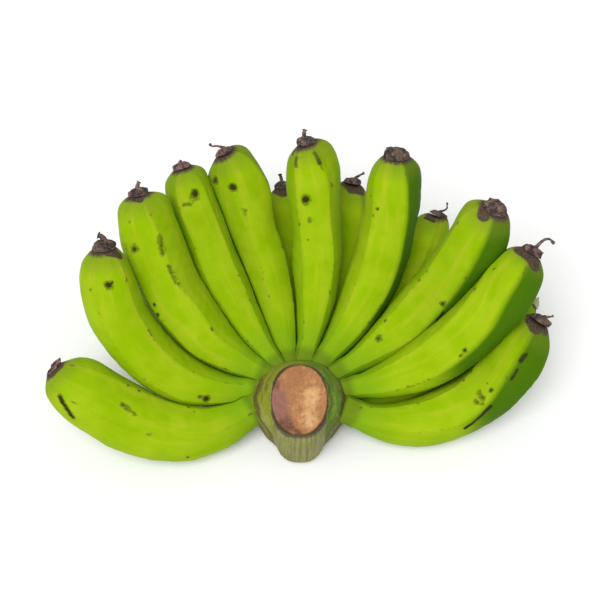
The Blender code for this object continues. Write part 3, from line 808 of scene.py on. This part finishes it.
def endRings(key, seed):
    # rings of a dry end: a crumpled dome with a sunken top, then a strand that grows from it
    finger, end = fingers[key], dict(usualEnd, **flowerEnds.get(key, {}))
    middle, inner, side = (part[0] for part in fingerMiddle(finger, np.array([1.0])))
    ahead = np.cross(side, inner)
    ahead = ahead if ahead @ way(finger["tipHeading"], finger["tipPitch"]) > 0 else -ahead
    base = fingerRadius(finger, np.array([1.0]))[0]
    run = np.linspace(0, 1, dryEnd["domeRings"])
    rise = np.interp(run, dryEnd["domeRun"], dryEnd["domeRise"])
    width = np.interp(run, dryEnd["domeRun"], dryEnd["domeWidth"]) * base
    right, up = cameraAxes()[:2]
    lean = (end["lean"][0] * right - end["lean"][1] * up) * camera["distance"] / camera["focalPixels"]
    dome = middle + ahead * (skin["gap"] + rise[:, None] * end["tall"]) + rise[:, None] * lean
    dome = swelled(dome, swellPlans[key])
    strand, length = strandLine(dome[-1], end["strand"], dryEnd["strandRings"] + 1)
    share = np.linspace(0, 1, dryEnd["strandRings"] + 1)[1:]
    knob = dryEnd["strandKnob"] * np.exp(-((share - dryEnd["knobAt"]) / dryEnd["knobReach"]) ** 2)
    thin = end["thick"] * (1 - dryEnd["strandTaper"] * share + knob)
    thin = thin + (width[-1] - end["thick"]) * np.exp(-share * length / dryEnd["strandRoot"])
    line, widths = np.concatenate([dome, strand[1:]]), np.concatenate([width, thin])
    # the frame follows the line: each ring's plane turns from the dome's axis to the strand's way
    heading = unit(np.concatenate([
        np.repeat(ahead[None], len(dome), 0), np.gradient(strand, axis=0)[1:]]))
    for _ in range(3):
        heading[1:-1] = unit(heading[:-2] + 2 * heading[1:-1] + heading[2:])
    across = unit(np.cross(heading, inner))
    over = np.cross(across, heading)
    turns = np.linspace(0, 2 * np.pi, dryEnd["columns"], endpoint=False)[None]
    onDome = np.concatenate([np.ones(len(dome)), np.zeros(len(share))])[:, None]
    full = np.concatenate([np.sin(np.pi * np.clip(run * 1.05, 0, 1)), 0 * share])[:, None]
    draw = np.random.default_rng(seed)
    lobed = 1 + dryEnd["lobeDepth"] * full * sum(
        np.cos(count * turns + draw.uniform(0, 2 * np.pi)) for count in dryEnd["lobes"])
    out = np.cos(turns)[..., None] * over[:, None] + np.sin(turns)[..., None] * across[:, None]
    rings = line[:, None] + (widths[:, None] * lobed)[..., None] * out
    shape = dryEnd["bulge"] * full * onDome * ripple(rings, dryEnd["bulgeSize"], seed + 2)
    rings = rings + shape[..., None] * out
    crumple = dryEnd["crumple"] * (0.1 + full) * ripple(rings, dryEnd["crumpleSize"], seed)
    crumple += dryEnd["grain"] * ripple(rings, dryEnd["grainSize"], seed + 1)
    rings = rings + (crumple * np.clip(widths / 3, 0.2, 1)[:, None])[..., None] * out
    rings = rings + (0.6 * crumple * onDome * full)[..., None] * ahead
    flat = np.ones(rings.shape[:2])
    rings = np.clip(rings, *boxCorners)
    return rings, {"rosy": end["rosy"] * flat, "pale": end["pale"] * flat}


dry = {
    "dark": (0.042, 0.030, 0.028),
    "brown": (0.125, 0.088, 0.062),
    "mauve": (0.25, 0.13, 0.12),
    "ash": (0.40, 0.33, 0.28),
    "bleached": (0.42, 0.44, 0.27),
}


def dryMaterial():
    # dry and crumpled: near black in the hollows, brown or mauve, with ashy flecks
    material, tree, shader = startMaterial("dryFlower")
    place = addNode(tree, "ShaderNodeTexCoord").outputs["Object"]
    rosy, pale = readValue(tree, "rosy"), readValue(tree, "pale")
    blotch = noiseAt(tree, place, 230, 4.0, 0.6)
    grain = noiseAt(tree, place, 700, 4.0, 0.65)
    body = mixColour(tree, rosy, dry["brown"], dry["mauve"])
    colour = mixColour(tree, remap(tree, blotch, 0.40, 0.60), dry["dark"], body)
    fleck = plus(tree, grain, times(tree, pale, 0.14))
    colour = mixColour(tree, remap(tree, fleck, 0.58, 0.76, 0.0, 0.75), colour, dry["ash"])
    colour = mixColour(tree, remap(tree, pale, 0.7, 1.0, 0.0, 0.85), colour, dry["bleached"])
    tree.links.new(colour, shader.inputs["Base Color"])
    tree.links.new(remap(tree, grain, 0.3, 0.7, 0.7, 0.95), shader.inputs["Roughness"])
    shader.inputs["Specular IOR Level"].default_value = 0.15
    coarse = addBump(tree, blotch, 0.6, 0.0012)
    tree.links.new(addBump(tree, grain, 0.5, 0.0006, coarse), shader.inputs["Normal"])
    return material


dryFlower = dryMaterial()
for key in fingers:
    row, number = key[:5], key[5:]
    rings, values = endRings(key, seeds[key] + 3)
    addPiece(row + "End" + number, tubeMesh(row + "End" + number, rings, values, {}), dryFlower,
             "flower_end_" + row + "_" + number)
print("dried ends made:", len(fingers))


crown = {
    "height": 45.9,
    # height, middle and half width of the stalk, and its depth toward the camera and away
    "stalk": [(0, -1.7, 15.6, 23.0, 23), (1.2, -1.7, 17.0, 25.3, 25), (4, -1.7, 17.9, 26.6, 25),
              (10, -1.7, 18.3, 27.2, 25), (20, -1.7, 18.6, 27.2, 25), (30, -1.7, 18.8, 26.6, 25),
              (38, -1.7, 19.0, 26.0, 25), (43, -1.7, 19.2, 25.2, 25), (45.9, -1.7, 19.1, 24.9, 24.9)],
    "stalkSquare": 2.5,       # 2 is an ellipse, more is squarer
    # height, half width, near edge and far edge of the cushion that the fingers grow from
    "cushion": [(0, 18, -12, 25), (1.5, 23, -16, 30), (4, 27.5, -18, 34), (8, 30, -19, 36.6),
                (16, 31.6, -19.5, 38.0), (25, 31.8, -19.5, 38.0), (32, 31.2, -19, 37.2),
                (36.5, 28.5, -17, 34.2), (39.3, 23.5, -14, 29.0), (41, 17.5, -10, 23.5),
                (43, 10, -6, 14)],
    "blend": 16,              # more makes a sharper crease between stalk and cushion
    "cutSlope": 0.15,
    "cutRise": (34, 41),
    "underRings": 12,
    "sideRings": 190,
    "cutRings": 90,
    "columns": 220,
    "smoothing": 6,
    "bevel": 0.9,
    "bevelReach": 0.5,
    "fibre": 0.26,
    "lump": 0.35,
    "lumpSize": 13,
    "rootBulge": 0.9,         # the cushion swells where a finger grows out of it
    "rootReach": 9,
    "perDegree": 0.58,        # millimetres along the cushion to a degree of turn
    "dish": 0.9,              # how far the cut has sunk in the middle
    "lip": 0.25,
    "rough": 0.25,
}


def cushionReach(turns, halfWidth, near, far):
    # distance from the axis to an ellipse whose middle lies off it, from the quadratic in that
    # distance
    offset, depth = (near + far) / 2, (far - near) / 2
    a = (np.sin(turns) / halfWidth) ** 2 + (np.cos(turns) / depth) ** 2
    b = offset * np.cos(turns) / depth ** 2
    c = (offset / depth) ** 2 - 1
    return (b + np.sqrt(np.maximum(b * b - a * c, 0))) / a


def crownRings():
    # rings of the crown: the larger of stalk and cushion at each height and turn, then the cut
    under, sides, cut = crown["underRings"], crown["sideRings"], crown["cutRings"]
    top = crown["height"]
    height = np.concatenate([np.zeros(under), np.linspace(0, top, sides), np.full(cut, top)])
    shrink = np.concatenate([
        np.linspace(0.03, 0.98, under), np.ones(sides), np.linspace(0.985, 0.01, cut)])[:, None]
    turns = np.linspace(0, 2 * np.pi, crown["columns"], endpoint=False)[None]
    stem, cushion = np.array(crown["stalk"], float), np.array(crown["cushion"], float)
    middle, half, near, far = (
        np.interp(height, stem[:, 0], stem[:, column])[:, None] for column in range(1, 5))
    depth = np.where(np.cos(turns) < 0, near, far)
    power = crown["stalkSquare"]
    stalkReach = (np.abs(np.sin(turns) / half) ** power
                  + np.abs(np.cos(turns) / depth) ** power) ** (-1 / power)
    width, nearEdge, farEdge = (
        np.interp(height, cushion[:, 0], cushion[:, column])[:, None] for column in range(1, 4))
    cushionAt = cushionReach(turns, width, nearEdge, farEdge) * (height < cushion[-1, 0])[:, None]
    reach = (stalkReach ** crown["blend"] + cushionAt ** crown["blend"]) ** (1 / crown["blend"])
    fromTop = (top - height)[:, None]
    reach = reach - crown["bevel"] * np.exp(-fromTop / crown["bevelReach"]) * (shrink == 1)
    for _ in range(crown["smoothing"]):
        reach[1:-1] = (reach[:-2] + 2 * reach[1:-1] + reach[2:]) / 4
    fromCushion = smoothStep(cushionAt - stalkReach, -1.5, 1.5)
    y = reach * shrink * np.cos(turns)
    lean = crown["cutSlope"] * np.clip((height - crown["cutRise"][0]) / (
        crown["cutRise"][1] - crown["cutRise"][0]), 0, 1)[:, None]
    x = middle + reach * shrink * np.sin(turns)
    rings = np.stack([x, y, height[:, None] + lean * y], -1)
    onSide = smoothStep(height, 1, 4) * (1 - smoothStep(height, 44, top))
    onSide = (shrink == 1) * onSide[:, None]
    intoCut = np.concatenate([np.zeros(under + sides), np.linspace(0, 1, cut)])
    onCut = smoothStep(intoCut, 0.0, 0.03)[:, None] + 0 * x
    out = np.stack([np.sin(turns) + 0 * x, np.cos(turns) + 0 * x, 0 * x], -1)
    # fibres run up the stalk: much change along a turn, little with the height
    around = np.stack([
        np.sin(turns) * 20 + 0 * x, np.cos(turns) * 20 + 0 * x, height[:, None] / 12 + 0 * x], -1)
    fibres = ripple(around, 3.2, 41) + 0.6 * ripple(around, 1.6, 45)
    grooves = crown["fibre"] * fibres * (1 - 0.6 * fromCushion)
    push = onSide * (grooves + crown["lump"] * ripple(rings, crown["lumpSize"], 42) - 0.25)
    for finger in fingers.values():
        turned = np.degrees(np.angle(np.exp(1j * (turns - np.radians(finger["bearing"])))))
        away = turned * crown["perDegree"]
        push = push + onSide * crown["rootBulge"] * np.exp(
            -(away ** 2 + (height[:, None] - finger["height"]) ** 2) / crown["rootReach"] ** 2)
    rings = rings + push[..., None] * out
    face = np.stack([(x - middle) / half, y / depth], -1)
    edge = np.hypot(face[..., 0], face[..., 1])
    dish = -crown["dish"] * np.clip(1 - edge ** 2, 0, 1)
    dish = dish + crown["lip"] * np.exp(-((edge - 0.9) / 0.06) ** 2)
    rough = crown["rough"] * ripple(rings, 5, 43) + 0.12 * ripple(rings, 1.9, 44)
    rings[..., 2] += onCut * (dish + rough * (1 - 0.5 * edge))
    rings = rings + np.array(stalk["place"])
    rings[..., 2] = np.maximum(rings[..., 2], 0)

    def patch(across, along, reach):
        apart = (face[..., 0] - across) ** 2 + (face[..., 1] - along) ** 2
        return np.exp(-apart / reach ** 2) * onCut

    values = {
        "cut": onCut, "edge": edge, "rise": height[:, None] + 0 * x, "cushion": fromCushion + 0 * x,
        "pale": patch(0.40, 0.10, 0.40) + 0.8 * patch(0.35, -0.62, 0.30),
        "mauve": patch(-0.75, 0.05, 0.40) + 0.8 * patch(-0.65, -0.45, 0.35),
        "rusty": patch(-0.1, 0.75, 0.45) + 0.6 * patch(0.75, -0.3, 0.3),
        "dark": patch(-0.50, -0.75, 0.36) + patch(0.0, -0.98, 0.2) + 0.7 * patch(-0.8, 0.5, 0.25),
        "rightSide": (1 + np.sin(turns)) / 2 + 0 * x,
        "fromCut": np.maximum(reach - stalkReach, 0) + 0.5 * np.maximum(top - 4 - height[:, None], 0),
    }
    return rings, values, {"crownPlace": around / 10}


tissue = {
    "tan": (0.48, 0.225, 0.09),
    "pale": (0.70, 0.41, 0.19),
    "rust": (0.30, 0.125, 0.05),
    "mauve": (0.26, 0.115, 0.095),
    "dark": (0.075, 0.035, 0.030),
    "rim": (0.060, 0.040, 0.022),
    "green": (0.10, 0.21, 0.02),
    "olive": (0.215, 0.24, 0.014),
    "stalk": (0.27, 0.26, 0.105),
    "fibre": (0.17, 0.175, 0.055),
    "paleLine": (0.30, 0.30, 0.10),
    "scar": (0.105, 0.075, 0.030),
}


def crownMaterial():
    # cut stalk: mottled tan and mauve, a dark rim, a fibrous olive stalk and a scarred green
    # cushion
    material, tree, shader = startMaterial("crownTissue")
    place = addNode(tree, "ShaderNodeTexCoord").outputs["Object"]
    around = readVector(tree, "crownPlace")
    cut, edge, rise = readValue(tree, "cut"), readValue(tree, "edge"), readValue(tree, "rise")
    cushion, fromCut = readValue(tree, "cushion"), readValue(tree, "fromCut")
    rightSide = readValue(tree, "rightSide")
    blotch = noiseAt(tree, place, 110, 4.0, 0.6, 0.8)
    spot = noiseAt(tree, place, 260, 4.0, 0.6)
    grain = noiseAt(tree, place, 900, 3.0, 0.6)
    mottle = plus(tree, blotch, times(tree, spot, 0.7))
    stir = swing(tree, mottle, 0.85, 1.5)
    face = mixColour(tree, remap(tree, spot, 0.30, 0.66, 0.35, 1.0), tissue["rust"], tissue["tan"])
    face = mixColour(tree, remap(tree, blotch, 0.30, 0.66, 0.45, 0.0), face, tissue["rust"])
    strands = noiseAt(tree, stretch(tree, place, (1.0, 0.3, 1.0)), 420, 3.0, 0.6, 0.4)
    face = mixColour(tree, remap(tree, strands, 0.55, 0.72, 0.0, 0.45), face, tissue["pale"])
    face = mixColour(tree, remap(tree, strands, 0.45, 0.30, 0.0, 0.5), face, tissue["rust"])
    # the cut's patches, each with a ragged edge and its strength
    for name, low, high, strength, colour in (
            ("rusty", 0.1, 1.1, 0.6, tissue["rust"]), ("mauve", 0.1, 1.0, 0.85, tissue["mauve"]),
            ("pale", 0.15, 1.1, 0.9, tissue["pale"]), ("dark", 0.25, 1.1, 0.85, tissue["dark"])):
        share = remap(tree, plus(tree, readValue(tree, name), stir), low, high)
        face = mixColour(tree, times(tree, share, strength), face, colour)
    face = mixColour(tree, remap(tree, grain, 0.60, 0.75, 0.0, 0.22), face, tissue["pale"])
    ragged = plus(tree, edge, swing(tree, spot, 0.5, 0.10))
    face = mixColour(tree, remap(tree, ragged, 0.93, 0.99), face, tissue["rim"])
    fibres = noiseAt(tree, stretch(tree, around, (1.0, 1.0, 0.5)), 7.0, 4.0, 0.65)
    stalkSide = mixColour(tree, remap(tree, fibres, 0.36, 0.58), tissue["fibre"], tissue["stalk"])
    stalkSide = mixColour(tree, remap(tree, blotch, 0.45, 0.65, 0.0, 0.5), stalkSide, tissue["olive"])
    green = mixColour(tree, remap(tree, rightSide, 0.35, 0.8), tissue["olive"], tissue["green"])
    green = mixColour(tree, remap(tree, spot, 0.5, 0.7, 0.0, 0.25), green, tissue["paleLine"])
    band = plus(tree, fromCut, swing(tree, mottle, 0.85, 9.0))
    cushionSide = mixColour(tree, remap(tree, band, 7.5, 14.0, 0.0, 0.8), green, tissue["scar"])
    cushionSide = mixColour(tree, remap(tree, spot, 0.48, 0.66, 0.0, 0.5), cushionSide, tissue["olive"])
    # streaks that follow the collar round: little change along its turn, much away from the cut
    lift = times(tree, fromCut, 0.45)
    away = addNode(tree, "ShaderNodeCombineXYZ", {"Z": lift}).outputs["Vector"]
    alongCollar = addNode(tree, "ShaderNodeVectorMath", {0: around, 1: away}).outputs["Vector"]
    lines = noiseAt(tree, alongCollar, 0.8, 3.0, 0.6)
    paler = remap(tree, lines, 0.52, 0.66, 0.0, 0.6)
    cushionSide = mixColour(tree, paler, cushionSide, tissue["paleLine"])
    darker = remap(tree, lines, 0.48, 0.34, 0.0, 0.7)
    cushionSide = mixColour(tree, darker, cushionSide, tissue["scar"])
    body = mixColour(tree, remap(tree, cushion, 0.2, 0.8), stalkSide, cushionSide)
    body = mixColour(tree, remap(tree, rise, 41.0, 45.0, 0.0, 0.8), body, tissue["rim"])
    colour = mixColour(tree, cut, body, face)
    tree.links.new(colour, shader.inputs["Base Color"])
    tree.links.new(remap(tree, grain, 0.3, 0.7, 0.55, 0.8), shader.inputs["Roughness"])
    shader.inputs["Specular IOR Level"].default_value = 0.15
    coarse = addBump(tree, spot, 0.45, 0.0010)
    onlySides = times(tree, fibres, combine(tree, "SUBTRACT", 1.0, cut))
    lined = addBump(tree, onlySides, 0.6, 0.0012, coarse)
    tree.links.new(addBump(tree, grain, 0.4, 0.0004, lined), shader.inputs["Normal"])
    return material


addPiece("crownStalk", tubeMesh("crownStalk", *crownRings()), crownMaterial(), "crown")
print("crown made")


studio = {
    "floorColour": (0.9, 0.9, 0.9),
    "floorHalf": 40.0,               # metres
    "keyWay": (-0.24, -0.38, 0.89),  # from the hand toward the light
    "keyStrength": 2.05,
    "keySpread": 45,                 # degrees across, for soft shadows
    "world": 0.64,
}


def addLight():
    data = bpy.data.lights.new("keyLight", "SUN")
    data.energy = studio["keyStrength"]
    data.angle = np.radians(studio["keySpread"])
    item = bpy.data.objects.new("keyLight", data)
    item.rotation_euler = (-Vector(studio["keyWay"])).to_track_quat("-Z", "Y").to_euler()
    bpy.context.scene.collection.objects.link(item)


def addSurface():
    half = studio["floorHalf"]
    mesh = bpy.data.meshes.new("paleSurface")
    corners = [(-half, -half, 0), (half, -half, 0), (half, half, 0), (-half, half, 0)]
    mesh.from_pydata(corners, [], [(0, 1, 2, 3)])
    item = bpy.data.objects.new("paleSurface", mesh)
    material, tree, shader = startMaterial("paleSurface")
    shader.inputs["Base Color"].default_value = (*studio["floorColour"], 1)
    shader.inputs["Roughness"].default_value = 0.9
    shader.inputs["Specular IOR Level"].default_value = 0.1
    mesh.materials.append(material)
    bpy.context.scene.collection.objects.link(item)


addSurface()
addLight()
world = bpy.data.worlds.new("studio")
bpy.context.scene.world = world
world.use_nodes = True
background = world.node_tree.nodes["Background"]
background.inputs["Color"].default_value = (1, 1, 1, 1)
background.inputs["Strength"].default_value = studio["world"]
bpy.context.scene.view_settings.view_transform = "Standard"
print("surface and light placed")
